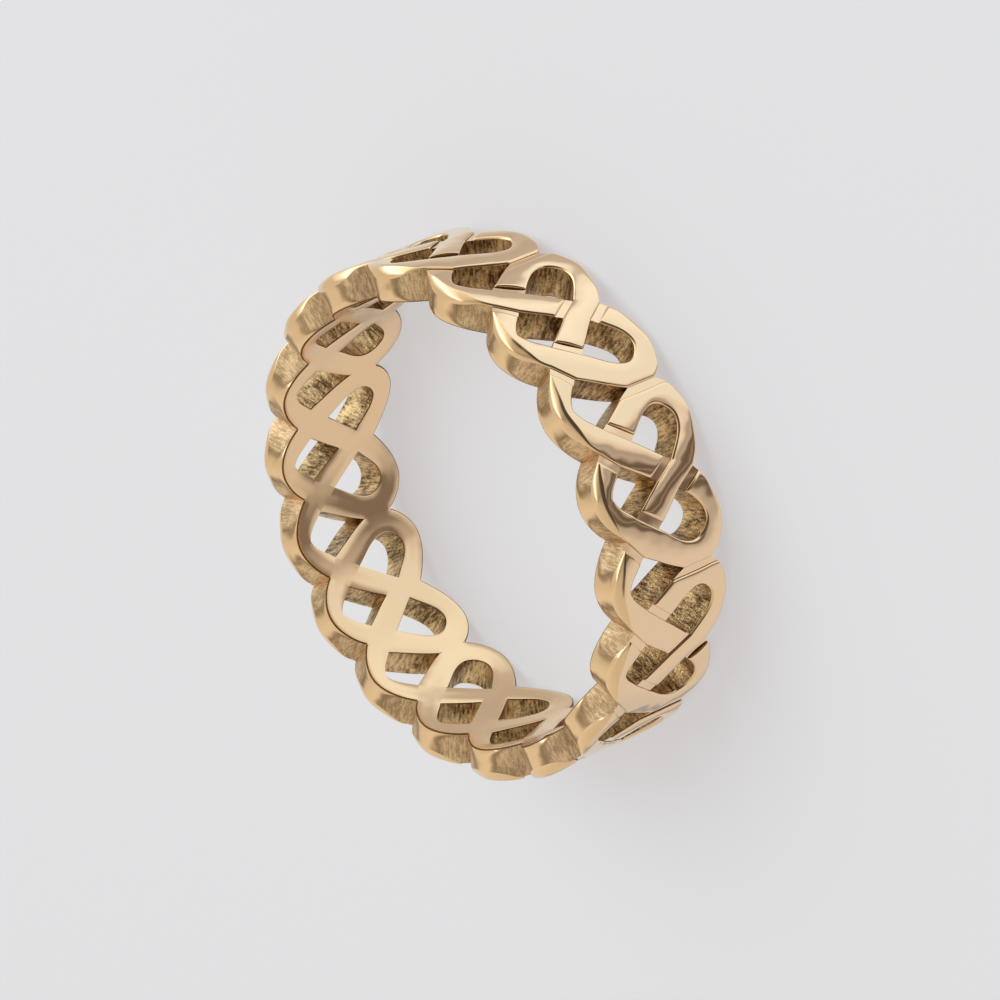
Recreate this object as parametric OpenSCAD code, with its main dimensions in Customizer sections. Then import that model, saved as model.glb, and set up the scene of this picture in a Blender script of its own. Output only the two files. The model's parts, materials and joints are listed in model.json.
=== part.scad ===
// Knot ring: one cast band, turned round at its edges and cut through into an endless knot.
// It lies flat, with its axis upright: the origin is in the middle of the underside.

/* [Band] */
// Diameter of the finger hole
bore_d = 17.3; // [16.5:0.1:19]
// Thickness of the band from the finger hole to the outer face
wall_t = 1.35; // [1.25:0.05:1.6]
// Width of the band from edge to edge
band_w = 5.45; // [5.3:0.05:5.6]
// Rounding from the outer face into the edge
outer_round = 0.4; // [0.2:0.05:0.5]
// Rounding from the finger hole into the edge
bore_round = 0.2; // [0.1:0.05:0.3]

/* [Knot] */
// Number of times the knot repeats round the band
repeats = 9; // [8:1:10]
// Depth of the step where a strap dips under another
step_depth = 0.12; // [0.06:0.02:0.2]
// Width of the step where a strap dips under another
step_w = 0.32; // [0.2:0.02:0.4]

/* [Hidden] */

bore_r = bore_d / 2;
outer_r = bore_r + wall_t;
middle_r = bore_r + wall_t / 2;
// Angle of one repeat, and half a repeat measured along the outer face
repeat_angle = 360 / repeats;
half_repeat = PI * outer_r / repeats;
// Angle at which the turned surfaces start and end, so that the seam there runs through straps
seam_angle = 4;
// Height of the tops of the lobes, just past the edge of the band, which leaves a small flat on them
lobe_top = band_w / 2 + 0.02;
// Cutters start inside the finger hole and end outside the band
cut_from = bore_r - 1;
cut_to = outer_r + 1;
// Steps in each stretch of a curved outline
curve_steps = 6;
// How far the notch cutters reach past the edge
past_edge = 0.6;
// How far a step runs on past the corners of its strap, at the crossing and at its far side
past_corner = 0.08;
past_strap = 0.25;

// The pattern is drawn on the outer face laid flat. Along it, 0 is where two lower lobes touch
// and 1 is where two straps cross in the lower lane, half a repeat on. The other half is its mirror.
// Across it, sizes are millimetres above the middle of the band.
// Columns: along, across, heading of the curve where it comes in and where it goes out, in degrees.

// Right half of the window over the touching lobes, from its top to its foot
tall_window = [
    [0.000,  2.11,    0,  -12],
    [0.298,  1.31,  -42, -118],
    [0.000, -0.53, -113,    0]];

// Left half of the window over the crossing, from its foot to its top
short_window = [
    [1.000, -0.05,    0,  126],
    [0.722,  1.27,  127,   42],
    [1.000,  2.09,   14,    0]];

// The window in a lower lobe, once round from its tip
lobe_window = [
    [0.522,  0.40,    0,  -52],
    [0.850, -0.96,  -51, -142],
    [0.455, -1.84,  180,  180],
    [0.260, -1.14,   88,   88],
    [0.522,  0.40,   56,    0]];

// The upper edge, from the top of one lobe down into the notch and up to the next
upper_edge = [
    [0.000,  lobe_top,    0,    0],
    [0.518,      1.92,  -41,   47],
    [1.000,  lobe_top,    0,    0]];

// Right half of the lower notch between two touching lobes, from its valley to the lobe
touch_edge = [
    [0.000,     -1.83,    0,  -60],
    [0.415, -lobe_top,    0,    0]];

// Left half of the lower notch under the crossing, from its valley to the lobe
cross_edge = [
    [1.000,     -1.83,    0, -143],
    [0.415, -lobe_top,  180,    0]];

// A point of a row, in millimetres on the flat pattern
function spot(row) = [row[0] * half_repeat, row[1]];

// Direction of a heading in degrees
function way(heading) = [cos(heading), sin(heading)];

// A smooth curve from p to q that leaves and arrives along the given headings, without its last point
function bend(p, q, leave, arrive) =
    let (reach = norm(q - p), a = reach * way(leave), b = reach * way(arrive))
    [for (i = [0 : curve_steps - 1])
        let (t = i / curve_steps)
        (2 * t^3 - 3 * t^2 + 1) * p + (t^3 - 2 * t^2 + t) * a
            + (3 * t^2 - 2 * t^3) * q + (t^3 - t^2) * b];

// The curve through the rows of a table, without its last point
function bends(rows) =
    [for (i = [0 : len(rows) - 2], p = bend(spot(rows[i]), spot(rows[i + 1]), rows[i][3], rows[i + 1][2])) p];

// The curve with its last point
function outline(rows) = concat(bends(rows), [spot(rows[len(rows) - 1])]);

// The outline of a notch, closed past the edge of the band on the given side
function notch(rows, side) =
    let (reach = side * (band_w / 2 + past_edge))
    concat(outline(rows), [[spot(rows[len(rows) - 1])[0], reach], [spot(rows[0])[0], reach]]);

// A half outline joined with its mirror image, where both its ends are on the mirror line
function both_halves(half, at) =
    concat(half, [for (i = [len(half) - 2 : -1 : 1]) [2 * at - half[i][0], half[i][1]]]);

// Turns a flat shape outwards, to stand on the finger hole at the given place along the pattern
module stand(along) {
    rotate([0, 0, along / half_repeat * repeat_angle / 2]) rotate([90, 0, 90]) children();
}

// Cuts an outline straight through the wall. The opening has its drawn width half way through,
// so it is a few hundredths narrower outside and wider inside.
module cut(points, middle) {
    stand(middle)
        translate([0, 0, cut_from])
            linear_extrude(height = cut_to - cut_from)
                polygon([for (p = points) [middle_r * tan((p[0] - middle) / outer_r * 180 / PI), p[1]]]);
}

// The openings of one repeat
module openings() {
    cut(both_halves(outline(tall_window), 0), 0);
    cut(both_halves(outline(short_window), half_repeat), half_repeat);
    cut(both_halves(notch(touch_edge, -1), 0), 0);
    cut(both_halves(notch(cross_edge, -1), half_repeat), half_repeat);
    for (side = [0, 1])
        mirror([0, side, 0]) {
            cut(bends(lobe_window), spot(lobe_window[0])[0]);
            cut(notch(upper_edge, 1), spot(upper_edge[1])[0]);
        }
}

// A step on the left of the line from p to q, where the strap there dips under the one on the right
module step(p, q) {
    run = (q - p) / norm(q - p);
    left = [-run[1], run[0]] * step_w;
    middle = (p + q) / 2;
    stand(middle[0])
        translate([-middle[0], 0, cut_from])
            linear_extrude(height = cut_to - cut_from)
                polygon([
                    p - past_corner * run, q + past_corner * run,
                    q + left + past_strap * run, p + left - past_strap * run]);
}

// The steps of one repeat. In the upper lane the strap that falls clockwise is on top,
// in the lower lane the one that falls the other way, as in a plait.
module steps() {
    turned = [[-1, 0], [0, 1]];
    tall_corner = spot(tall_window[1]);
    short_corner = spot(short_window[1]);
    lobe_tip = spot(lobe_window[0]);
    lobe_corner = spot(lobe_window[1]);
    valley = spot(upper_edge[1]);
    step(tall_corner, valley);
    step(short_corner, lobe_tip);
    step(turned * short_corner, turned * valley);
    step(turned * tall_corner, turned * lobe_tip);
    step(spot(short_window[0]), [2 * half_repeat - lobe_corner[0], lobe_corner[1]]);
    step(spot(cross_edge[0]), lobe_corner);
    step(spot(touch_edge[0]), spot(tall_window[2]));
}

// Section of the wall before it is cut: round corners, larger outside
module wall_section() {
    flat_w = band_w - 2 * outer_round;
    translate([bore_r, -band_w / 2 + bore_round]) square([bore_round, band_w - 2 * bore_round]);
    translate([bore_r + bore_round, -band_w / 2]) square([wall_t - bore_round - outer_round, band_w]);
    translate([outer_r - outer_round, -flat_w / 2]) square([outer_round, flat_w]);
    for (side = [-1, 1]) {
        translate([bore_r + bore_round, side * (band_w / 2 - bore_round)]) circle(r = bore_round, $fn = 48);
        translate([outer_r - outer_round, side * (band_w / 2 - outer_round)]) circle(r = outer_round, $fn = 96);
    }
}

// The plain band with the steps sunk into its outer face
module stepped_band() {
    difference() {
        rotate([0, 0, seam_angle]) rotate_extrude($fn = 180) wall_section();
        difference() {
            union() {
                for (i = [0 : repeats - 1])
                    rotate([0, 0, i * repeat_angle]) steps();
            }
            cylinder(r = outer_r - step_depth, h = band_w + 2, center = true, $fn = 180);
        }
    }
}

// The whole band in one piece, cut through into the knot
module knot_band() {
    color("#d8b483")
    translate([0, 0, band_w / 2])
    difference() {
        stepped_band();
        for (i = [0 : repeats - 1])
            rotate([0, 0, i * repeat_angle]) openings();
    }
}

knot_band();
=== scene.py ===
import json
from math import ceil, cos, inf, pi, radians, sin
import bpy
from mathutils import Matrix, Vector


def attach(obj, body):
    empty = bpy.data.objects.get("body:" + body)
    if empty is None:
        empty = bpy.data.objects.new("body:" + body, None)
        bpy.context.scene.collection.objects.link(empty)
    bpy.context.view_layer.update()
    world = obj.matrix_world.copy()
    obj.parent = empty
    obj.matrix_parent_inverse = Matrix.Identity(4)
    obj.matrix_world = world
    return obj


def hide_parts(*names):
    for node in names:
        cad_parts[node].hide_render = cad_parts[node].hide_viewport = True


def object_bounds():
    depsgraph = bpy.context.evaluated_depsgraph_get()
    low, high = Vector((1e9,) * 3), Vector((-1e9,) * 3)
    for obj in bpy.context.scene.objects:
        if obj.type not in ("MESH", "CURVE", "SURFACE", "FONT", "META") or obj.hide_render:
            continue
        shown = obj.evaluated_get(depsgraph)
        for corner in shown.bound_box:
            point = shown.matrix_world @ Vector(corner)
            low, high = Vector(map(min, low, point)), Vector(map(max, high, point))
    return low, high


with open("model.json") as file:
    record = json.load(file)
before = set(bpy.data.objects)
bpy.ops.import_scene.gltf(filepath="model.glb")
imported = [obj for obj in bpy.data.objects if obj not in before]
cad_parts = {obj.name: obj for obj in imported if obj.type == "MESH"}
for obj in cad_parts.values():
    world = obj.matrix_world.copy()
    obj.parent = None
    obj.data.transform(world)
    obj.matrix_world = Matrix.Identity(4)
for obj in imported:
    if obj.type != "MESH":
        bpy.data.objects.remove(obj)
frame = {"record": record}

from types import SimpleNamespace

import bmesh
import bpy
import numpy as np
from bpy.props import FloatProperty, FloatVectorProperty, IntProperty, PointerProperty
from mathutils import Matrix, Vector

bl_info = {
    "name": "Knot Ring",
    "version": (1, 0, 0),
    "blender": (4, 5, 0),
    "location": "3D View > Sidebar > Knot Ring",
    "description": "Adds a pierced knot band with its finishes, and a plain stage to look at it on",
    "category": "Mesh",
}

# Sizes are in millimetres in this script, and become metres where they go into Blender
MM = 0.001
CAD_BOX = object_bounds()
CAD_SIZE = (CAD_BOX[1] - CAD_BOX[0]) / MM
FINGER_HOLE = next(m for m in frame["record"]["mounts"] if m["name"] == "finger_hole")

# The pattern of the knot, on the outer face laid flat. Along it, 0 is where two lower lobes touch
# and 1 is where two straps cross in the lower lane, half a repeat on. The other half is its mirror.
# Across it, sizes are millimetres above the middle of the band, and inf is the top of a lobe.
# Columns: along, across, heading of the curve where it comes in and where it goes out, in degrees.
TALL_WINDOW = (
    (0.000, 2.11, 0, -12),
    (0.298, 1.31, -42, -118),
    (0.000, -0.53, -113, 0),
)
SHORT_WINDOW = (
    (1.000, -0.05, 0, 126),
    (0.722, 1.27, 127, 42),
    (1.000, 2.09, 14, 0),
)
LOBE_WINDOW = (
    (0.522, 0.40, 0, -52),
    (0.850, -0.96, -51, -142),
    (0.455, -1.84, 180, 180),
    (0.260, -1.14, 88, 88),
    (0.522, 0.40, 56, 0),
)
UPPER_EDGE = (
    (0.000, inf, 0, 0),
    (0.518, 1.92, -41, 47),
    (1.000, inf, 0, 0),
)
TOUCH_EDGE = (
    (0.000, -1.83, 0, -60),
    (0.415, -inf, 0, 0),
)
CROSS_EDGE = (
    (1.000, -1.83, 0, -143),
    (0.415, -inf, 180, 0),
)
# Height of the middle of the touch line, where the window of the lobe comes nearest to it, and the
# shares of the window's two left stretches that lie across from the ends of that line
TOUCH_MIDDLE = -1.14
ACROSS_FROM_FOOT = 0.72
ACROSS_FROM_NOTCH = 0.35

# How finely the surfaces are divided
BEND_POINTS = 40
STATION = 0.1
EDGE_ANGLES = np.radians(np.linspace(90, 0, 7))
MIDDLE_ROWS = 8
BORE_EDGE_ANGLES = np.radians([90, 45, 0])
BORE_MIDDLE_ROWS = 3
WALL_ROWS = 4

# Forms that are not for a user to change
LIP = 0.004            # width of the upright part of a step
LIP_SHARE = 0.4        # share of a step's depth that is upright, the rest is rounded
STEP_ROOM = 0.15       # how far beyond a step the strap's stations stay parallel to it
ROLL_FROM = 2.15       # distance from the middle of the band where the rolls of the lobes begin
SAME = 1e-6            # vertices nearer than this are one
CREASE = radians(33)   # edges sharper than this are drawn as creases

# The finishes of the faces, in the order of the band's materials
# STEP is the dull finish whose dark brown is painted shade, on the steps' uprights and the bore's free edges
POLISHED, BORE, STEP, CUT, SKIN = range(5)

# What the buffing and brushing left, and the spots of the painted shade on the steps. Patterns are given
# as features in a millimetre, and heights in millimetres.
WAVES = 0.8            # soft waves of the buffed metal
WAVE_H = 0.07          # their height outside
BORE_WAVE_H = 0.04     # their height in the bore
HAZE = 6.0             # spots of haze
HAZE_BY = 0.03         # how much duller or brighter they are
LINES = 12.0           # brushed lines of the bore, coarser than the real ones, which wouldn't show
LINE_H = 0.004         # their height
LINE_STRETCH = 0.15    # how much sparser they are round the band than across it
LINE_BUMP = 0.5        # how strongly they bend the light
SPOTS = 4.0            # spots of darker and lighter painted shade on the steps

# The rough patches of the cut walls, and the casting's skin on them
PATCH_R = 9.30         # radius of a patch's middle
PATCH_DEPTH = 0.64     # half its height through the wall
PATCH_END = 2.64       # how far from the middle of the band it ends
DEPTH_POWER = 6        # how square it is through the wall
END_POWER = 8          # how suddenly it ends towards the lobes
RAGS = 1.5             # ragged places of its border
RAGGED_BY = 0.5        # how far they reach
SMOOTH_FROM = 1.45     # measure of the border where the patch is gone
ROUGH_FROM = 1.05      # and where it is fully rough
# Painted shade along the rough patches' borders, where the rough wall folds into the polished top of a lobe
RIM_AT = 1.2           # measure of the border where most painted shade lies
RIM_W = 0.3            # how far it spreads from there
RIM_SHADE = 0.6            # how much of it lies there
CUT_GRIT = 0.08        # height of the grain on the walls of the windows
CUT_GRAINS = 8.0       # its grains
SKIN_GRIT = 0.03       # height of the grain on the walls of the notches
SKIN_GRAINS = 11.0     # its grains
STREAK = 0.3           # share of the radius that the streaks' pattern keeps, which draws them out
STREAK_SHARE = 1.3     # weight of the streaks in the grain
FINE_SHARE = 0.7       # weight of the finer, round grain
FINER = 1.5            # how much finer that is
CLOUDS = 1.2           # darker and lighter clouds over it
CLOUD_SHARE = 0.8      # their weight
PITS_BELOW = 1.15      # sum of the weighted patterns under which all is pits
TOPS_ABOVE = 1.64      # and over which all is raised grain
LOBE_DULL = 0.03       # how much duller than the outer faces the tops of the lobes are

# The studio as the metal mirrors it. CARDS is what stands round it below the horizon
# and SKY what is above, as azimuth in degrees, level of light, and its tint.
GAP = "#fff2e5"
WALL = "#fcffff"
LAMP = "#eaf9ff"
PAPER = "#f2fcff"
CEILING = "#fffce8"
WINDOW = "#f7fff7"
CARDS = (
    (-180, 0.655, WALL), (-149, 0.735, WALL), (-108, 0.74, WALL), (-98, 0.68, WALL), (-90, 0.52, WALL),
    (-86, 0.46, WALL), (-82, 0.157, GAP), (-77, 0.134, GAP), (-74, 0.336, GAP), (-71, 0.134, GAP),
    (-66, 0.157, GAP), (-61, 0.50, WALL), (-55, 0.42, WALL), (-48, 0.81, WALL), (-40, 1.05, LAMP),
    (-20, 1.04, LAMP), (3, 1.15, LAMP), (18, 1.21, LAMP), (28, 1.07, LAMP), (37, 0.57, WALL),
    (60, 0.53, WALL), (78, 0.64, WALL), (95, 0.82, PAPER), (140, 0.72, PAPER), (157, 0.66, WALL),
    (169, 0.38, WALL), (179, 0.655, WALL))
SKY = (
    (-180, 0.66, CEILING), (-135, 0.62, CEILING), (-93, 0.60, CEILING), (-60, 0.46, CEILING),
    (-40, 0.35, CEILING), (-10, 0.52, CEILING), (15, 0.82, CEILING), (40, 1.30, WINDOW),
    (60, 2.20, WINDOW), (76, 1.00, WINDOW), (90, 0.64, CEILING), (115, 0.66, CEILING),
    (140, 0.75, CEILING), (160, 0.70, CEILING), (180, 0.66, CEILING))
# The cards give way to the sky between these heights of the direction's unit vector
SKY_FROM, SKY_FULL = -0.3, 0.1
# The dark room behind the camera: the azimuth and elevation of its middle, how many times wider
# than tall it is, how many degrees from its middle it begins and is full, and its colour
ROOM = (-50, 8)
ROOM_TALL = 2.2
ROOM_FROM, ROOM_FULL = 55, 35
ROOM_DARK = "#504b45"
# The large soft light: its azimuth and elevation, and its distance and diameter in millimetres
KEY_WAY = (40, 52)
KEY_DISTANCE = 300
KEY_SIZE = 260

# Points of the floor's rim, and the roughness of its paper
RIM_POINTS = 96
PAPER_ROUGH = 0.9


# Shape of the band


def spot(row, size):
    """A point of a table's row, in millimetres on the flat pattern."""
    return np.array([row[0] * size.half, np.clip(row[1], -size.half_w, size.half_w)])


def bend(start, end, leave, arrive):
    """A cubic from start to end. Its tangents there point along the two headings, in degrees, and
    are as long as the straight way between the points."""
    t = np.linspace(0, 1, BEND_POINTS + 1)[:, None]
    reach = np.linalg.norm(end - start)
    out, back = (reach * np.array([cos(radians(a)), sin(radians(a))]) for a in (leave, arrive))
    return (
        (2 * t**3 - 3 * t**2 + 1) * start + (t**3 - 2 * t**2 + t) * out
        + (3 * t**2 - 2 * t**3) * end + (t**3 - t**2) * back
    )


def chained(lines):
    """Lines that follow on each other as one line, without the doubled points."""
    return np.concatenate([lines[0]] + [line[1:] for line in lines[1:]])


def curve(rows, first, last, size):
    """The line through a table's rows from the first to the last of the two given, either way."""
    low, high = sorted((first, last))
    line = chained([
        bend(spot(a, size), spot(b, size), a[3], b[2])
        for a, b in zip(rows[low:high], rows[low + 1:high + 1])
    ])
    return line if first < last else line[::-1]


def distances(line):
    """Distance along a line of each of its points."""
    return np.concatenate([[0], np.cumsum(np.linalg.norm(np.diff(line, axis=0), axis=1))])


def places(line, at):
    """The points of a line at the given distances along it."""
    run = distances(line)
    return np.stack([np.interp(at, run, line[:, 0]), np.interp(at, run, line[:, 1])], axis=1)


def smooth(share):
    """Rise from 0 to 1 that starts and ends level: three times the square less twice the cube."""
    share = np.clip(share, 0, 1)
    return share * share * (3 - 2 * share)


def rounding(share):
    """Drop of a quarter circle, 1 at its edge, where share is 0, and 0 where share is 1: one less the
    root of one less the squared rest of the share."""
    return 1 - np.sqrt(1 - (1 - np.clip(share, 0, 1)) ** 2)


def edge_form(line, size):
    """Width and depth of the rounding along an edge. It is the same everywhere but on the lobes,
    where it grows to a broad roll towards their tops."""
    grown = smooth((np.abs(line[:, 1]) - ROLL_FROM) / (size.half_w - ROLL_FROM))
    depth = size.step_depth - size.crown
    return size.edge + (size.roll - size.edge) * grown, depth + (size.roll_depth - depth) * grown


class Strap:
    """A stretch of a strap between two crossings or tops of arches, as a grid. Its stations run
    from the left side to the right side, from pairs of matching marks on both."""

    def __init__(self, left, right, left_marks, right_marks, size, steps=(False, False), touch=None):
        marks = (left_marks + right_marks) / 2
        run = self.stations(marks, steps, size)
        self.left_run = np.interp(run, marks, left_marks)
        self.left = places(left, self.left_run)
        self.right = places(right, np.interp(run, marks, right_marks))
        self.width = np.linalg.norm(self.right - self.left, axis=1)
        # Share of the step's depth that a station has regained: none on the step, then the upright
        # lip, then a quarter round
        self.rise = np.ones(len(run))
        for stepped, way in zip(steps, (run, run[-1] - run)):
            if stepped:
                climb = 1 - (1 - LIP_SHARE) * rounding((way - size.step_w) / size.edge)
                self.rise *= np.where(way < size.step_w - LIP / 2, 0, climb)
        self.edges = edge_form(self.left, size), edge_form(self.right, size)
        self.upright = np.isclose(np.diff(run), LIP)
        self.touch = touch
        self.size = size

    @staticmethod
    def stations(marks, steps, size):
        """Distances of the stations: even between marks, and set to the form of a step next to a
        stepped end."""
        beyond = size.step_w + size.edge * (1 - np.sin(EDGE_ANGLES))
        form = np.concatenate([[0, size.step_w / 2, size.step_w - LIP], beyond])
        spans = []
        for i, (low, high) in enumerate(zip(marks[:-1], marks[1:])):
            if i == 0 and steps[0]:
                spans.append(low + form)
            elif i == len(marks) - 2 and steps[1]:
                spans.append(np.concatenate([[low], high - form[:0:-1]]))
            else:
                spans.append(np.linspace(low, high, max(1, ceil((high - low) / STATION)) + 1)[:-1])
        return np.concatenate(spans + [marks[-1:]])

    def free(self):
        """Distance of each left point from the free part of its side, which is 0 where it is free
        and grows along the line where the strap touches its mirror image."""
        if self.touch is None:
            return np.zeros(len(self.left))
        return np.clip(np.minimum(self.left_run - self.touch[0], self.touch[1] - self.left_run), 0, None)

    def outer(self, ledge=None):
        """Outer face: its radius, less the roundings of both edges, a slight crown, and the steps.
        A ledge is the width of the step that runs along the left side of each station. Returns it
        with the finish of each of its quads."""
        size = self.size
        t, drop = rows_across(self.width, *self.edges, EDGE_ANGLES, MIDDLE_ROWS, ledge)
        shelf = 0 if ledge is None else (ledge / self.width)[:, None]
        across = (t - shelf) / (1 - shelf)
        drop = drop + size.crown * crowned(across)
        drop = size.step_depth + self.rise[:, None] * (drop - size.step_depth)
        finish = np.full((len(t) - 1, t.shape[1] - 1), POLISHED)
        finish[self.upright] = STEP
        if ledge is not None:
            finish[:, 1] = STEP
        return sheet(self.left, self.right, t, size.outer_r - drop), finish

    def bore(self, right):
        """Bore face: its radius, with the edges rounded outwards. Returns it with the finish of each
        of its quads. The free edges get the steps' dull finish and painted dark shade, all across the
        rounding beside a notch and on its steep half beside a window. Right is the finish of the wall on the
        right side."""
        size = self.size
        form = np.full(len(self.width), size.bore_edge), np.zeros(len(self.width))
        t, _ = rows_across(self.width, form, form, BORE_EDGE_ANGLES, BORE_MIDDLE_ROWS)
        width = self.width[:, None]
        from_left = np.hypot(t * width, self.free()[:, None])
        lift = size.bore_edge * (
            rounding(from_left / size.bore_edge) + rounding((1 - t) * width / size.bore_edge))
        rounded = len(BORE_EDGE_ANGLES) - 1
        finish = np.full((len(t) - 1, t.shape[1] - 1), BORE)
        finish[:, -rounded if right == SKIN else -1:] = STEP
        touching = np.flatnonzero(self.free() > 0)
        finish[:touching[0] - 1 if len(touching) else None, 0] = STEP
        if len(touching):
            finish[touching[-1] + 1:, :rounded] = STEP
        return sheet(self.left, self.right, t, size.bore_r + lift), finish

    def walls(self, outer, bore, left, right):
        """Cut walls between the edges of the two faces, on each free side, with the finish of each
        side. A strap that touches its mirror image has a window before that and a notch after it."""
        grids = [(wall(outer[:, -1], bore[:, -1]), right)]
        touching = np.flatnonzero(self.free() > 0)
        if len(touching):
            first, last = touching[0] - 1, touching[-1] + 1
            grids += [(wall(outer[:first + 1, 0], bore[:first + 1, 0]), left),
                      (wall(outer[last:, 0], bore[last:, 0]), SKIN)]
        else:
            grids.append((wall(outer[:, 0], bore[:, 0]), left))
        return grids


def crowned(t):
    """Drop of the crown across a strap: the square of the way from its middle, 1 at both edges."""
    return np.clip(np.abs(2 * t - 1), 0, 1) ** 2


def rows_across(width, left, right, angles, middle, ledge=None):
    """Where the rows of a grid lie between a strap's sides, as shares of its width, and how far the
    roundings of both sides drop there. Left and right give the width and depth of each rounding,
    which is a quarter of an ellipse. Its rows lie at equal angles, and the others at equal
    distances. A ledge puts two rows more at the left."""
    start = np.zeros_like(width)
    upright = np.zeros_like(width)
    if ledge is not None:
        upright = (ledge > 0).astype(float)
        start = ledge + LIP * upright
    near, fall = 1 - np.sin(angles), 1 - np.cos(angles)
    left_rows = start[:, None] + left[0][:, None] * near
    right_rows = width[:, None] - right[0][:, None] * near[::-1]
    inner = np.linspace(0, 1, middle + 1)[None, 1:-1]
    between = right_rows[:, :1] - left_rows[:, -1:]
    rows = np.hstack([left_rows, left_rows[:, -1:] + between * inner, right_rows])
    left_drop = (left[1] * (1 - LIP_SHARE * upright))[:, None] * fall
    drop = np.hstack([left_drop, np.zeros((len(width), middle - 1)), right[1][:, None] * fall[::-1]])
    if ledge is not None:
        rows = np.hstack([np.zeros((len(width), 1)), ledge[:, None], rows])
        drop = np.hstack([left[1][:, None], left[1][:, None], drop])
    return rows / width[:, None], drop


def sheet(left, right, t, radius):
    """A face between two sides, ruled straight across, as along, across and radius."""
    flat = left[:, None] * (1 - t[..., None]) + right[:, None] * t[..., None]
    return np.dstack([flat, radius])


def wall(outer_edge, bore_edge):
    """A wall that points at the axis, ruled between the edges of the two faces."""
    t = np.linspace(0, 1, WALL_ROWS + 1)[None, :, None]
    return outer_edge[:, None] * (1 - t) + bore_edge[:, None] * t


def crossing(corners, over_first, size):
    """Outer and bore face where two straps cross, with their finishes. Each is the bilinear patch of
    four corners: start, end of the first direction, end of the second, far. The strap on top keeps
    its rounded edges and crown right across. Its width runs in the first direction if over_first."""
    start, first, second, far = corners
    pairs = ((start, first), (second, far), (start, second), (first, far))
    widths = np.array([np.linalg.norm(b - a) for a, b in pairs])
    faces = []
    for width, depth, angles, middle in (
        (size.edge, size.step_depth - size.crown, EDGE_ANGLES, MIDDLE_ROWS),
        (size.bore_edge, 0, BORE_EDGE_ANGLES, BORE_MIDDLE_ROWS),
    ):
        form = np.full(len(widths), width), np.full(len(widths), depth)
        t, drop = rows_across(widths, form, form, angles, middle)
        # Shares of the way in both directions, at the places where opposite sides' rows meet
        a = t[0][:, None] + (t[1] - t[0])[:, None] * t[2][None, :]
        b = t[2][None, :] + (t[3] - t[2])[None, :] * t[0][:, None]
        flat = (
            start * ((1 - a) * (1 - b))[..., None] + first * (a * (1 - b))[..., None]
            + second * ((1 - a) * b)[..., None] + far * (a * b)[..., None]
        )
        faces.append((flat, a, b, drop[0]))
    flat, a, b, drop = faces[0]
    drop = (drop[:, None] if over_first else drop[None, :]) + size.crown * crowned(a if over_first else b)
    outer = np.dstack([flat, size.outer_r - drop])
    finish = np.full((len(flat) - 1, flat.shape[1] - 1), POLISHED)
    (finish.T if over_first else finish)[:, [0, -1]] = STEP
    flat = faces[1][0]
    near = np.min([np.linalg.norm(flat - c, axis=2) for c in corners], axis=0)
    bore = np.dstack([flat, size.bore_r + size.bore_edge * rounding(near / size.bore_edge)])
    return [(outer, finish), (bore, BORE)]


def half_straps(mirror, size):
    """The straps and the upper crossing of half a repeat, as (grid, finish) pairs, where the finish
    is one number or one for each quad. In the mirrored half the other strap lies on top, and the
    strap beside the touch line is stepped along it."""
    room = size.step_w + STEP_ROOM

    def strap(left, right, steps):
        ends = distances(left)[-1], distances(right)[-1]
        marks = [np.array([0, room, end - room, end]) for end in ends]
        return Strap(left, right, *marks, size, steps)

    arch_touch = strap(curve(TALL_WINDOW, 0, 1, size), curve(UPPER_EDGE, 0, 1, size), (False, not mirror))
    arch_cross = strap(curve(SHORT_WINDOW, 2, 1, size), curve(UPPER_EDGE, 2, 1, size), (False, mirror))
    diagonal = strap(
        curve(SHORT_WINDOW, 1, 0, size), curve(LOBE_WINDOW, 0, 1, size), (not mirror, mirror))

    foot, notch = spot(TALL_WINDOW[2], size), spot(TOUCH_EDGE[0], size)
    middle = np.array([0, TOUCH_MIDDLE])
    parts = [
        curve(TALL_WINDOW, 1, 2, size), np.array([foot, middle]), np.array([middle, notch]),
        curve(TOUCH_EDGE, 0, 1, size), curve(CROSS_EDGE, 1, 0, size)]
    ends = np.cumsum([distances(part)[-1] for part in parts])
    left_marks = np.array([0, room, *ends[:4], ends[4] - room, ends[4]])
    parts_in = [curve(LOBE_WINDOW, i + 1, i, size) for i in (3, 2, 1)]
    down, under, up = (distances(part)[-1] for part in parts_in)
    right_marks = np.array([
        0, room, down * ACROSS_FROM_FOOT, down, down + under * ACROSS_FROM_NOTCH, down + under,
        down + under + up - room, down + under + up])
    lobe = Strap(chained(parts), chained(parts_in), left_marks, right_marks, size,
                 (mirror, not mirror), touch=(ends[0], ends[2]))
    ledge = np.clip(size.step_w - np.abs(lobe.left[:, 0]), 0, None) if mirror else None

    grids = []
    for piece, along, right_side in (
        (arch_touch, None, SKIN), (arch_cross, None, SKIN), (diagonal, None, CUT), (lobe, ledge, CUT)
    ):
        outer, bore = piece.outer(along), piece.bore(right_side)
        grids += [outer, bore, *piece.walls(outer[0], bore[0], CUT, right_side)]
    corners = [spot(row, size) for row in (TALL_WINDOW[1], LOBE_WINDOW[0], UPPER_EDGE[1], SHORT_WINDOW[1])]
    return grids + crossing(corners, not mirror, size)


def repeat_grids(size):
    """All surfaces of one repeat, as (grid, finish) pairs: both halves and the lower crossing."""
    turned = np.array([-1, 1, 1])
    grids = half_straps(False, size)
    grids += [(grid * turned, finish) for grid, finish in half_straps(True, size)]
    foot, valley = spot(SHORT_WINDOW[0], size), spot(CROSS_EDGE[0], size)
    corner = spot(LOBE_WINDOW[1], size)
    far_corner = np.array([2 * size.half - corner[0], corner[1]])
    return grids + crossing([foot, corner, far_corner, valley], True, size)


def grid_faces(rows, columns):
    """The quads of a grid whose vertices are numbered row by row."""
    number = np.arange(rows * columns).reshape(rows, columns)
    corners = number[:-1, :-1], number[1:, :-1], number[1:, 1:], number[:-1, 1:]
    return np.stack(corners, axis=-1).reshape(-1, 4)


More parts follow.
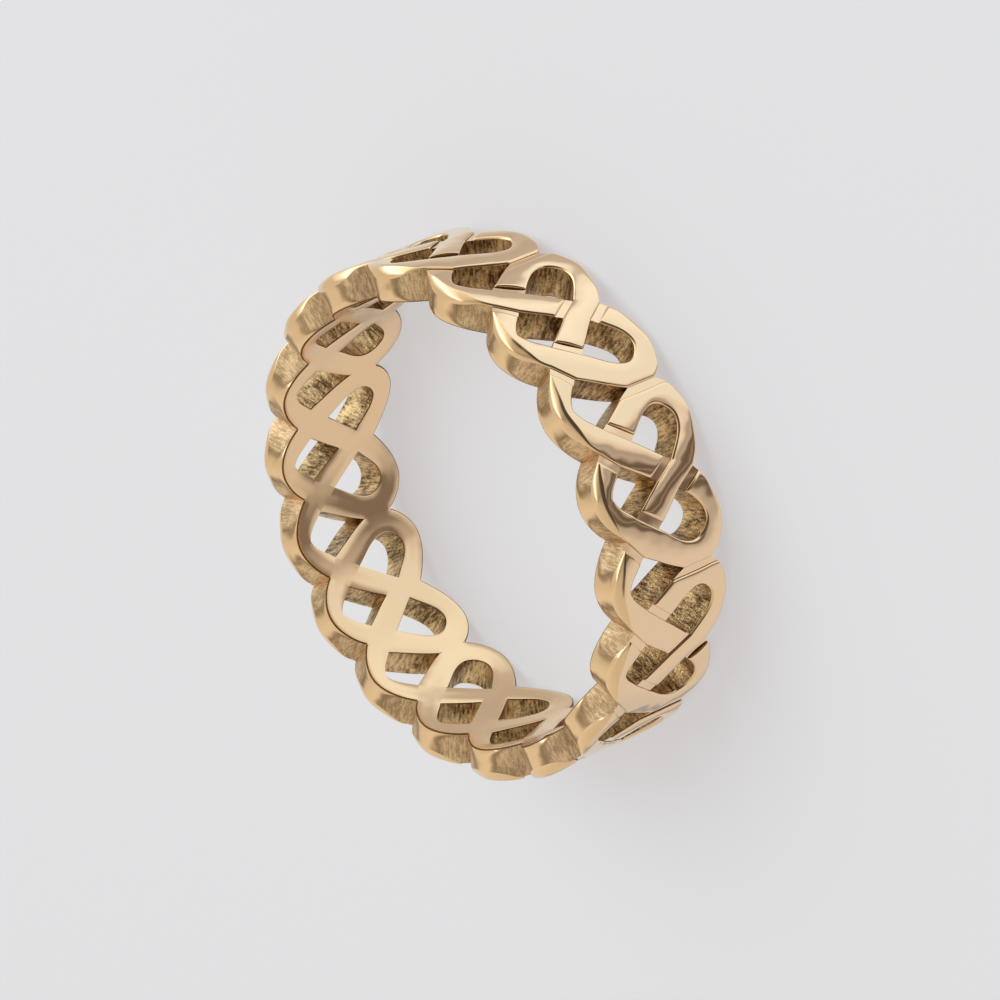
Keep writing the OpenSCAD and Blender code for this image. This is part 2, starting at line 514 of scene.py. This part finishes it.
def band_surface(size):
    """Vertices in metres, quads, triangles, and the finish of each face. Each grid is bent round
    the axis: the angle is the way along divided by the outer radius. It is repeated round the band,
    and vertices that coincide become one. Faces that have lost a side become triangles or go."""
    points, quads, finishes, count = [], [], [], 0
    for grid, finish in repeat_grids(size):
        faces = grid_faces(*grid.shape[:2]) + count
        points.append(grid.reshape(-1, 3))
        quads.append(faces)
        finishes.append(np.broadcast_to(finish, (grid.shape[0] - 1, grid.shape[1] - 1)).reshape(-1))
        count += grid.shape[0] * grid.shape[1]
    along, across, radius = np.concatenate(points).T
    turns = np.arange(size.repeats)[:, None] * 2 * pi / size.repeats
    angle = along / size.outer_r + turns
    places_xyz = np.stack([
        radius * np.cos(angle), radius * np.sin(angle),
        np.broadcast_to(across + size.half_w, angle.shape)], axis=-1).reshape(-1, 3)
    quads = (np.concatenate(quads) + np.arange(size.repeats)[:, None, None] * count).reshape(-1, 4)
    finishes = np.tile(np.concatenate(finishes), size.repeats)

    _, first, merged = np.unique(
        np.round(places_xyz / SAME).astype(np.int64), axis=0, return_index=True, return_inverse=True)
    quads = merged.reshape(-1)[quads]
    lost = quads == np.roll(quads, -1, axis=1)
    crossed = (quads[:, 0] == quads[:, 2]) | (quads[:, 1] == quads[:, 3])
    whole = ~lost.any(axis=1) & ~crossed
    three = (lost.sum(axis=1) == 1) & ~crossed
    kept = quads[three][~lost[three]].reshape(-1, 3)
    return (places_xyz[first] * MM, quads[whole], kept,
            np.concatenate([finishes[whole], finishes[three]]))


def band_sizes(settings):
    """The band's sizes in millimetres, with those that follow from them."""
    size = SimpleNamespace(
        bore_r=settings.bore_r / MM, outer_r=settings.outer_r / MM, half_w=settings.band_w / MM / 2,
        repeats=settings.repeats, step_depth=settings.step_depth / MM, step_w=settings.step_w / MM,
        edge=settings.edge / MM, roll=settings.roll / MM, roll_depth=settings.roll_depth / MM,
        bore_edge=settings.bore_edge / MM, crown=settings.crown / MM)
    size.half = pi * size.outer_r / size.repeats
    return size


def crease_edges(mesh, size):
    """Marks as sharp the edges over the crease angle, and those of the cut walls but on the lobes."""
    mesh.shade_smooth()
    mesh.set_sharp_from_angle(angle=CREASE)
    loop_edge = np.empty(len(mesh.loops), np.int32)
    mesh.loops.foreach_get("edge_index", loop_edge)
    sides = np.empty(len(mesh.polygons), np.int32)
    mesh.polygons.foreach_get("loop_total", sides)
    finish = np.empty(len(mesh.polygons), np.int32)
    mesh.polygons.foreach_get("material_index", finish)
    cut = np.repeat(finish >= CUT, sides)
    touching = np.zeros(len(mesh.edges), np.int32)
    np.add.at(touching, loop_edge, cut)
    sharp = mesh.attributes["sharp_edge"].data
    marked = np.empty(len(mesh.edges), bool)
    sharp.foreach_get("value", marked)
    places_xyz = np.empty(3 * len(mesh.vertices))
    mesh.vertices.foreach_get("co", places_xyz)
    ends = np.empty(2 * len(mesh.edges), np.int32)
    mesh.edges.foreach_get("vertices", ends)
    off_middle = np.abs(places_xyz[2::3] / MM - size.half_w)[ends].reshape(-1, 2).max(axis=1)
    sharp.foreach_set("value", marked | ((touching == 1) & (off_middle < ROLL_FROM)))


# Finishes

MATH = "ShaderNodeMath"
VECTOR = "ShaderNodeVectorMath"
MAP = "ShaderNodeMapRange"
MIX = "ShaderNodeMix"
NOISE = "ShaderNodeTexNoise"
BUMP = "ShaderNodeBump"
SHADER = "ShaderNodeBsdfPrincipled"
PLACE = "ShaderNodeTexCoord"
SURFACE = "ShaderNodeOutputMaterial"
SOFTLY = {"interpolation_type": "SMOOTHSTEP"}
COLOURS = {"data_type": "RGBA"}


def linear(hex_colour):
    """An sRGB hex colour as linear red, green, blue and alpha."""
    srgb = np.array([int(hex_colour[i:i + 2], 16) for i in (1, 3, 5)]) / 255
    rgb = np.where(srgb <= 0.04045, srgb / 12.92, ((srgb + 0.055) / 1.055) ** 2.4)
    return (*rgb.tolist(), 1.0)


def node(tree, kind, settings=None, **inputs):
    """Adds a node with its settings and inputs. An input is a value, a socket to link to, or a node
    whose first socket is linked. It is named as its socket is, with _ for a space, or n and the
    socket's number."""
    new = tree.nodes.new(kind)
    for name, value in (settings or {}).items():
        setattr(new, name, value)
    for name, value in inputs.items():
        socket = new.inputs[int(name[1:]) if name[1:].isdigit() else name.replace("_", " ")]
        if isinstance(value, bpy.types.Node):
            value = value.outputs[0]
        if isinstance(value, bpy.types.NodeSocket):
            tree.links.new(value, socket)
        else:
            socket.default_value = value
    return new


def blank_material(name):
    """A new material with an empty tree."""
    material = bpy.data.materials.new(name)
    material.use_nodes = True
    material.node_tree.nodes.clear()
    return material, material.node_tree


def polished_plate(finish):
    """Gold-coloured plating on cast steel that was polished by hand. It mirrors the studio with soft
    edges. The buffing leaves waves a millimetre wide, so reflections swirl, and a faint haze."""
    material, tree = blank_material("Polished_gold_plate")
    place = node(tree, PLACE).outputs["Object"]
    wave = node(tree, NOISE, Vector=place, Scale=WAVES / MM, Detail=1)
    haze = node(tree, NOISE, Vector=place, Scale=HAZE / MM, Detail=3)
    dull = node(tree, MAP, Value=haze, To_Min=finish.polish - HAZE_BY, To_Max=finish.polish + HAZE_BY)
    bend_light = node(tree, BUMP, Strength=1, Distance=WAVE_H * MM, Height=wave)
    shader = node(tree, SHADER, Base_Color=finish.plate, Metallic=1, Roughness=dull, Normal=bend_light)
    node(tree, SURFACE, Surface=shader)
    return material


def satin_plate(finish):
    """The same plating over the bore, which is only brushed: reflections blur, and fine lines run
    round the band."""
    material, tree = blank_material("Satin_gold_plate")
    place = node(tree, PLACE).outputs["Object"]
    wave = node(tree, NOISE, Vector=place, Scale=WAVES / MM, Detail=1)
    along = node(tree, VECTOR, {"operation": "MULTIPLY"}, n0=place, n1=(LINE_STRETCH, LINE_STRETCH, 1))
    lines = node(tree, NOISE, Vector=along, Scale=LINES / MM, Detail=2)
    brushed = node(tree, BUMP, Strength=LINE_BUMP, Distance=LINE_H * MM, Height=lines)
    bend_light = node(tree, BUMP, Strength=1, Distance=BORE_WAVE_H * MM, Height=wave, Normal=brushed)
    shader = node(
        tree, SHADER, Base_Color=finish.bore, Metallic=1, Roughness=finish.satin, Normal=bend_light)
    node(tree, SURFACE, Surface=shader)
    return material


def painted_shade_step_plate(finish):
    """Plating on the uprights of the steps and the free edges of the bore, where neither the polish
    nor a cloth reaches, so they stay dull. Their dark brown, with darker and lighter spots, is painted
    shade: a thin dark line draws each of them in place of their shade and dark reflections."""
    material, tree = blank_material("Dull_gold_plate_painted_shade")
    place = node(tree, PLACE).outputs["Object"]
    shade_spots = node(tree, NOISE, Vector=place, Scale=SPOTS / MM, Detail=2)
    # Painted shade: the steps' uprights and the bore's free edges are coloured dark brown in place of their
    # shade and dark reflections
    tint = node(tree, MIX, COLOURS, Factor=shade_spots, n6=finish.cut_dark_and_shade, n7=finish.painted_line_shade)
    shader = node(tree, SHADER, Base_Color=tint.outputs[2], Metallic=1, Roughness=finish.rough)
    node(tree, SURFACE, Surface=shader)
    return material


def cut_plate(name, dark, light, grit, grains, finish, size):
    """Plating over the cut walls, where the casting's skin still shows: pitted and streaked through
    the wall, so they look brown and matt. The tops of the lobes and a thin margin along both faces
    were reached by the polish. A painted shade darkens the patch's border, most towards its end at
    the lobes, where the rough wall folds into the polished top. The measure of the border is
    the sixth power of the distance from the middle of the wall in half heights of the patch, and
    the eighth power of the distance from the middle of the band in distances to the patch's end.
    Both are added, with a noise that makes it ragged."""
    material, tree = blank_material(name)
    place = node(tree, PLACE).outputs["Object"]
    z = node(tree, "ShaderNodeSeparateXYZ", Vector=place).outputs["Z"]
    flat = node(tree, VECTOR, {"operation": "MULTIPLY"}, n0=place, n1=(1, 1, 0))
    radius = node(tree, VECTOR, {"operation": "LENGTH"}, n0=flat).outputs["Value"]
    outward = node(tree, VECTOR, {"operation": "NORMALIZE"}, n0=flat)
    rolled = node(tree, VECTOR, {"operation": "SCALE"}, n0=outward, Scale=size.outer_r * MM)
    drawn = node(tree, VECTOR, {"operation": "MULTIPLY_ADD"}, n0=place, n1=(STREAK, STREAK, 1), n2=rolled)

    depth = node(tree, MATH, {"operation": "MULTIPLY_ADD"}, n0=radius, n1=1 / (PATCH_DEPTH * MM),
                 n2=-PATCH_R / PATCH_DEPTH)
    depth = node(tree, MATH, {"operation": "POWER"}, n0=depth, n1=DEPTH_POWER)
    across = node(tree, MATH, {"operation": "MULTIPLY_ADD"}, n0=z, n1=1 / (PATCH_END * MM),
                  n2=-size.half_w / PATCH_END)
    across = node(tree, MATH, {"operation": "POWER"}, n0=across, n1=END_POWER)
    ragged = node(tree, NOISE, Vector=place, Scale=RAGS / MM, Detail=1)
    border = node(tree, MATH, {"operation": "ADD"}, n0=depth, n1=across)
    border = node(tree, MATH, {"operation": "MULTIPLY_ADD"}, n0=ragged, n1=RAGGED_BY, n2=border)
    rough = node(tree, MAP, SOFTLY, Value=border, From_Min=SMOOTH_FROM, From_Max=ROUGH_FROM)
    # Painted shade at the patch's border, where the rough wall folds into the polished top, heavier towards
    # the lobes
    off_rim = node(tree, MATH, {"operation": "SUBTRACT"}, n0=border, n1=RIM_AT)
    off_rim = node(tree, MATH, {"operation": "ABSOLUTE"}, n0=off_rim)
    rim = node(tree, MAP, SOFTLY, Value=off_rim, From_Min=RIM_W, From_Max=0)
    rim_shade_cap = node(tree, MATH, {"operation": "MINIMUM"}, n0=across, n1=RIM_SHADE)
    rim = node(tree, MATH, {"operation": "MULTIPLY"}, n0=rim, n1=rim_shade_cap)

    streaks = node(tree, NOISE, Vector=drawn, Scale=grains / MM, Detail=3, Roughness=0.6)
    fine = node(tree, NOISE, Vector=place, Scale=FINER * grains / MM, Detail=3, Roughness=0.6)
    cloud = node(tree, NOISE, Vector=place, Scale=CLOUDS / MM, Detail=1)
    skin = node(tree, MATH, {"operation": "MULTIPLY"}, n0=fine, n1=FINE_SHARE)
    skin = node(tree, MATH, {"operation": "MULTIPLY_ADD"}, n0=streaks, n1=STREAK_SHARE, n2=skin)
    tint = node(tree, MATH, {"operation": "MULTIPLY_ADD"}, n0=cloud, n1=CLOUD_SHARE, n2=skin)
    tint = node(tree, MAP, Value=tint, From_Min=PITS_BELOW, From_Max=TOPS_ABOVE)
    tint = node(tree, MIX, COLOURS, Factor=tint, n6=dark, n7=light).outputs[2]
    tint = node(tree, MIX, COLOURS, Factor=rough, n6=finish.plate, n7=tint).outputs[2]
    # The painted shade at the patch's border
    tint = node(tree, MIX, COLOURS, Factor=rim, n6=tint, n7=finish.cut_dark_and_shade).outputs[2]
    dull = node(tree, MAP, Value=rough, To_Min=finish.polish + LOBE_DULL, To_Max=finish.rough)
    pits = node(tree, MATH, {"operation": "SUBTRACT"}, n0=skin, n1=1)
    pits = node(tree, MATH, {"operation": "MULTIPLY"}, n0=pits, n1=rough)
    relief = node(tree, BUMP, Strength=1, Distance=grit / 2 * MM, Height=pits)
    shader = node(tree, SHADER, Base_Color=tint, Metallic=1, Roughness=dull, Normal=relief)
    node(tree, SURFACE, Surface=shader)
    return material


# Settings, operators and panel


def length(name, description, default):
    """A length in metres, from a default in millimetres."""
    return FloatProperty(name=name, description=description, default=default * MM, min=0,
                         subtype="DISTANCE", unit="LENGTH", precision=5)


def colour(name, description, hex_colour):
    """A colour with alpha, from an sRGB hex value."""
    return FloatVectorProperty(name=name, description=description, default=linear(hex_colour), size=4,
                               min=0, max=1, subtype="COLOR")


def fraction(name, description, default):
    """A number from 0 to 1."""
    return FloatProperty(name=name, description=description, default=default, min=0, max=1, subtype="FACTOR")


class KnotRingSizes(bpy.types.PropertyGroup):
    """Sizes of the band."""

    bore_r: length("Bore radius", "Radius of the finger hole", FINGER_HOLE["dims"]["r_mm"])
    outer_r: length("Outer radius", "Radius of the outer face", CAD_SIZE.x / 2)
    band_w: length("Width", "Width of the band from edge to edge", CAD_SIZE.z)
    repeats: IntProperty(name="Repeats", description="Number of times the knot repeats round the band",
                         default=9, min=8, max=10)
    step_depth: length("Step depth", "Depth of the step where a strap dips under another", 0.12)
    step_w: length("Step width", "Width of the step where a strap dips under another", 0.3)
    edge: length("Edge rounding", "Width of the polished rounding along the straps' outer edges", 0.10)
    roll: length("Roll width", "How far the outer face rolls over into the top of a lobe", 0.34)
    roll_depth: length("Roll depth", "How deep the roll reaches down the side of a lobe", 0.4)
    bore_edge: length("Bore edge rounding", "Rounding of the straps' edges at the bore", 0.05)
    crown: length("Crown", "How far the middle of a strap stands above its edges", 0.05)


class KnotRingFinish(bpy.types.PropertyGroup):
    """Colours and polish of the metal."""

    plate: colour("Plate", "Colour of the plating where it is polished", "#ffd9b1")
    bore: colour("Bore", "Colour of the plating in the bore, a little deeper", "#fcd4a9")
    # Painted shade: the dark brown of the thin lines on the steps' uprights and the bore's free edges
    painted_line_shade: colour("Groove", "Colour of the uprights that the polish doesn't reach", "#8a6840")
    cut_light: colour("Cut light", "Colour of the raised grain in the windows", "#ffdcac")
    # The pits' colour in the windows, and also the painted shade at the rough patches' borders and on the
    # steps
    cut_dark_and_shade: colour("Cut dark", "Colour of the pits in the windows", "#6e5236")
    skin_light: colour("Skin light", "Colour of the raised grain in the notches", "#f6d2ac")
    skin_dark: colour("Skin dark", "Colour of the pits in the notches", "#b09272")
    polish: fraction("Polish", "Roughness of the polished faces", 0.09)
    satin: fraction("Satin", "Roughness of the bore", 0.22)
    rough: fraction("Rough", "Roughness of the cut walls", 0.45)


class KnotRingStage(bpy.types.PropertyGroup):
    """Floor, light and camera."""

    paper: colour("Paper", "Colour of the paper floor, cool because the light on it is warm", "#9498a3")
    glow: colour("Glow", "Light that the backlit paper gives off", "#b9b6b7")
    floor_r: length("Floor radius", "How far the floor reaches", 2000)
    key_power: FloatProperty(
        name="Key light", description="Power of the large soft light", default=0.25, min=0,
        subtype="POWER", unit="POWER")
    sky_power: FloatProperty(
        name="Studio", description="Strength of the light from all round", default=1.0, min=0)
    lens: FloatProperty(
        name="Lens", description="Focal length of the camera in millimetres", default=202.4, min=10,
        unit="CAMERA")


class KNOTRING_OT_add_band(bpy.types.Operator):
    """Adds the cast band, cut through into straps that weave over and under each other"""

    bl_idname = "knot_ring.add_band"
    bl_label = "Add knot band"
    bl_options = {"REGISTER", "UNDO"}

    def execute(self, context):
        finish = context.scene.knot_ring_finish
        size = band_sizes(context.scene.knot_ring_sizes)
        points, quads, triangles, finishes = band_surface(size)
        mesh = bpy.data.meshes.new("knot_ring_band")
        mesh.from_pydata(points.tolist(), [], quads.tolist() + triangles.tolist())
        mesh.polygons.foreach_set("material_index", finishes.astype(np.int32))
        shell = bmesh.new()
        shell.from_mesh(mesh)
        bmesh.ops.recalc_face_normals(shell, faces=shell.faces)
        shell.to_mesh(mesh)
        shell.free()
        crease_edges(mesh, size)
        windows = finish.cut_dark_and_shade, finish.cut_light, CUT_GRIT, CUT_GRAINS
        notches = finish.skin_dark, finish.skin_light, SKIN_GRIT, SKIN_GRAINS
        for material in (
            polished_plate(finish), satin_plate(finish), painted_shade_step_plate(finish),
            cut_plate("Cut_gold_plate", *windows, finish, size),
            cut_plate("Cast_gold_plate", *notches, finish, size),
        ):
            mesh.materials.append(material)
        band = bpy.data.objects.new("knot_ring_band", mesh)
        context.collection.objects.link(band)
        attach(band, "root")
        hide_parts("knot_band")
        return {"FINISHED"}


class KNOTRING_OT_add_stage(bpy.types.Operator):
    """Adds the pale floor, the soft studio light and the camera at the photo's viewing angle"""

    bl_idname = "knot_ring.add_stage"
    bl_label = "Add stage"
    bl_options = {"REGISTER", "UNDO"}

    def execute(self, context):
        stage = context.scene.knot_ring_stage
        add_floor(context, stage)
        add_lights(context, stage)
        add_camera(context, stage)
        context.scene.view_settings.view_transform = "Standard"
        return {"FINISHED"}


def disc(context, name, radius, height, material):
    """A round sheet at a height."""
    angles = np.linspace(0, 2 * pi, RIM_POINTS, endpoint=False)
    rim = np.stack([radius * np.cos(angles), radius * np.sin(angles), np.full(RIM_POINTS, height)], axis=1)
    mesh = bpy.data.meshes.new(name)
    mesh.from_pydata(rim.tolist(), [], [list(range(RIM_POINTS))])
    mesh.materials.append(material)
    sheet_object = bpy.data.objects.new(name, mesh)
    context.collection.objects.link(sheet_object)
    return sheet_object


def add_floor(context, stage):
    """The paper floor at the underside of the ring, lit from below too, so its shadows are soft. The
    metal mirrors the studio's cards in its place."""
    material, tree = blank_material("Matt_paper")
    shader = node(tree, SHADER, Base_Color=stage.paper, Roughness=PAPER_ROUGH,
                  Emission_Color=stage.glow, Emission_Strength=1)
    node(tree, SURFACE, Surface=shader)
    disc(context, "floor", stage.floor_r, 0, material).visible_glossy = False


def direction(azimuth, elevation):
    """Unit vector towards an azimuth, counted from +X towards +Y, and an elevation, in degrees."""
    a, e = radians(azimuth), radians(elevation)
    return Vector((cos(a) * cos(e), sin(a) * cos(e), sin(e)))


def add_lights(context, stage):
    """One large soft light high on the side that is away from the camera, and the studio that the
    metal mirrors. Below the horizon that is the cards, above it the sky, each by azimuth from its
    own ramp, and the dark room lies over both as a soft oval."""
    light = bpy.data.lights.new("key_light", "AREA")
    light.shape, light.size, light.energy = "DISK", KEY_SIZE * MM, stage.key_power
    key = bpy.data.objects.new("key_light", light)
    key.location = direction(*KEY_WAY) * KEY_DISTANCE * MM
    key.rotation_mode = "QUATERNION"
    key.rotation_quaternion = key.location.to_track_quat("Z", "Y")
    key.visible_glossy = False
    context.collection.objects.link(key)

    world = bpy.data.worlds.new("studio")
    world.use_nodes = True
    tree = world.node_tree
    tree.nodes.clear()
    way = node(tree, PLACE).outputs["Generated"]
    axes = node(tree, "ShaderNodeSeparateXYZ", Vector=way).outputs
    turn = node(tree, MATH, {"operation": "ARCTAN2"}, n0=axes["Y"], n1=axes["X"])
    turn = node(tree, MAP, Value=turn, From_Min=-pi, From_Max=pi)
    rounds = []
    for stops in (CARDS, SKY):
        ring = node(tree, "ShaderNodeValToRGB", Fac=turn)
        ring.color_ramp.interpolation = "EASE"
        while len(ring.color_ramp.elements) < len(stops):
            ring.color_ramp.elements.new(0.5)
        for element, (azimuth, level, tint) in zip(ring.color_ramp.elements, stops):
            element.position = azimuth / 360 + 0.5
            element.color = [level * share for share in linear(tint)]
        rounds.append(ring)
    above = node(tree, MAP, SOFTLY, Value=axes["Z"], From_Min=SKY_FROM, From_Max=SKY_FULL)
    studio = node(tree, MIX, COLOURS, Factor=above, n6=rounds[0], n7=rounds[1]).outputs[2]
    tall = Vector((1, 1, ROOM_TALL))
    squeezed = node(tree, VECTOR, {"operation": "MULTIPLY"}, n0=way, n1=tall)
    squeezed = node(tree, VECTOR, {"operation": "NORMALIZE"}, n0=squeezed)
    near = node(tree, VECTOR, {"operation": "DOT_PRODUCT"}, n0=squeezed,
                n1=(direction(*ROOM) * tall).normalized()).outputs["Value"]
    room = node(tree, MAP, SOFTLY, Value=near,
                From_Min=cos(radians(ROOM_FROM)), From_Max=cos(radians(ROOM_FULL)))
    studio = node(tree, MIX, COLOURS, Factor=room, n6=studio, n7=linear(ROOM_DARK)).outputs[2]
    backdrop = node(tree, "ShaderNodeBackground", Color=studio, Strength=stage.sky_power)
    node(tree, "ShaderNodeOutputWorld", Surface=backdrop)
    context.scene.world = world


# The camera's place as the photo shows the ring, in millimetres and degrees: where it looks, from
# which side, how far off it is, and how far it is rolled, because the ring stands on its edge in the
# photo and lies on its side here
LOOKS_AT = Vector((0.160, -0.199, CAD_SIZE.z / 2 - 0.349))
CAMERA_AZIMUTH = -50.95
CAMERA_ELEVATION = 36.19
CAMERA_DISTANCE = 207.17
CAMERA_ROLL = -113.07
# What the camera sees begins and ends this far off, in metres
CLIP_NEAR, CLIP_FAR = 0.01, 10


def add_camera(context, stage):
    """The camera, aimed and then rolled about its own axis."""
    data = bpy.data.cameras.new("camera")
    data.lens, data.clip_start, data.clip_end = stage.lens, CLIP_NEAR, CLIP_FAR
    camera = bpy.data.objects.new("camera", data)
    back = direction(CAMERA_AZIMUTH, CAMERA_ELEVATION)
    level = back.to_track_quat("Z", "Y").to_matrix().to_4x4()
    roll = Matrix.Rotation(radians(CAMERA_ROLL), 4, "Z")
    place = Matrix.Translation((LOOKS_AT + back * CAMERA_DISTANCE) * MM)
    camera.matrix_world = place @ level @ roll
    context.collection.objects.link(camera)
    context.scene.camera = camera


class KNOTRING_PT_panel(bpy.types.Panel):
    """Lists the settings and the operators of the ring."""

    bl_label = "Knot Ring"
    bl_idname = "KNOTRING_PT_panel"
    bl_space_type = "VIEW_3D"
    bl_region_type = "UI"
    bl_category = "Knot Ring"

    def draw(self, context):
        scene = context.scene
        for settings, operator in (
            (scene.knot_ring_sizes, None),
            (scene.knot_ring_finish, KNOTRING_OT_add_band),
            (scene.knot_ring_stage, KNOTRING_OT_add_stage),
        ):
            box = self.layout.box()
            for name in settings.bl_rna.properties.keys():
                if name not in {"rna_type", "name"}:
                    box.prop(settings, name)
            if operator is not None:
                box.operator(operator.bl_idname)


CLASSES = (
    KnotRingSizes, KnotRingFinish, KnotRingStage,
    KNOTRING_OT_add_band, KNOTRING_OT_add_stage, KNOTRING_PT_panel,
)
SETTINGS = {
    "knot_ring_sizes": KnotRingSizes,
    "knot_ring_finish": KnotRingFinish,
    "knot_ring_stage": KnotRingStage,
}


def register():
    for cls in CLASSES:
        bpy.utils.register_class(cls)
    for name, group in SETTINGS.items():
        setattr(bpy.types.Scene, name, PointerProperty(type=group))


def unregister():
    for name in SETTINGS:
        delattr(bpy.types.Scene, name)
    for cls in reversed(CLASSES):
        bpy.utils.unregister_class(cls)


def main():
    """Builds the ring and its stage."""
    register()
    bpy.ops.knot_ring.add_band()
    bpy.ops.knot_ring.add_stage()


if __name__ == "__main__":
    main()
